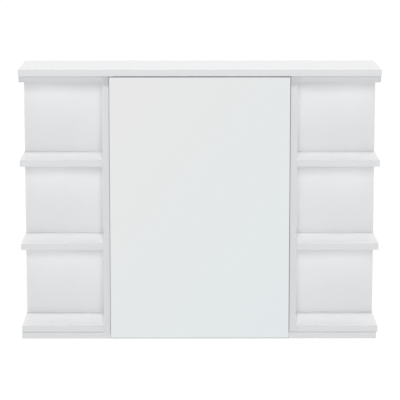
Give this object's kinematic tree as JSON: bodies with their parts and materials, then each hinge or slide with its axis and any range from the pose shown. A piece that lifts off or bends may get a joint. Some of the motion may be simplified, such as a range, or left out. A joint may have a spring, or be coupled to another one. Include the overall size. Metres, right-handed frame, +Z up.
{
  "type": "wall cabinet",
  "caption": "Hanging bathroom wall cabinet: a mirror door over a closed box of inner shelves, an open shelf rack on each side and one crown board across the top.",
  "frame": {"origin": "centre of the rectangle of four wall screw holes, on the wall plane at the cabinet's back", "axes": "+X to the right seen from the front, along the crown board; +Y into the wall; +Z up"},
  "size_m": [0.8, 0.205, 0.61],
  "materials": {
    "white_board": "white melamine-faced particle board, satin, with white edge bands",
    "hardboard_white": "thin fibreboard, white faced",
    "mirror_glass": "silvered float glass with ground arris",
    "foam_tape": "double-sided foam tape",
    "die_cast_fitting": "die-cast zinc, satin",
    "plated_steel": "bright nickel plated",
    "zinc_screws": "blue zinc plated",
    "white_plastic": "moulded, matt",
    "magnet": "sintered ferrite, matt",
    "clear_rubber": "clear soft dots",
    "beech": "fluted beech"
  },
  "bodies": {
    "root": {"back_panel_nails": "zinc_screws", "base_board": "white_board", "base_board_screws": "zinc_screws", "base_confirmats": "zinc_screws", "bracket_screws": "zinc_screws", "cam_bolts": "die_cast_fitting", "cams": "die_cast_fitting", "catch_housing": "white_plastic", "catch_magnet": "magnet", "catch_pole_plates": "plated_steel", "catch_screws": "zinc_screws", "centre_back_panel": "hardboard_white", "confirmat_caps": "white_plastic", "crown_board": "white_board", "door_bumpers": "clear_rubber", "dowels": "beech", "hanging_rail": "white_board", "left_base_board": "white_board", "left_bottom_shelf": "white_board", "left_lower_shelf": "white_board", "left_rack_back": "white_board", "left_top_board": "white_board", "left_upper_shelf": "white_board", "left_upright": "white_board", "lower_inner_shelf": "white_board", "lower_pivot_bracket": "plated_steel", "lower_rail": "white_board", "pivot_washer": "white_plastic", "rack_back_screws": "zinc_screws", "rail_confirmats": "zinc_screws", "right_bottom_shelf": "white_board", "right_lower_shelf": "white_board", "right_rack_back": "white_board", "right_top_board": "white_board", "right_upper_shelf": "white_board", "right_upright": "white_board", "shelf_confirmats": "zinc_screws", "shelf_pins": "plated_steel", "top_board_screws": "zinc_screws", "upper_inner_shelf": "white_board", "upper_pivot_pin": "plated_steel"},
    "door": {"door_board": "white_board", "mirror": "mirror_glass", "mirror_tapes": "foam_tape", "upper_door_fitting": "die_cast_fitting", "lower_door_fitting": "die_cast_fitting", "door_fitting_screws": "zinc_screws", "strike_plate": "plated_steel", "strike_screw": "zinc_screws"}
  },
  "joints": [
    {"name": "door_hinge", "type": "hinge", "parent": "root", "child": "door", "pos_m": [-0.195, -0.1975, 0], "axis": [0, 0, -1], "range_deg": [0, 100]}
  ]
}
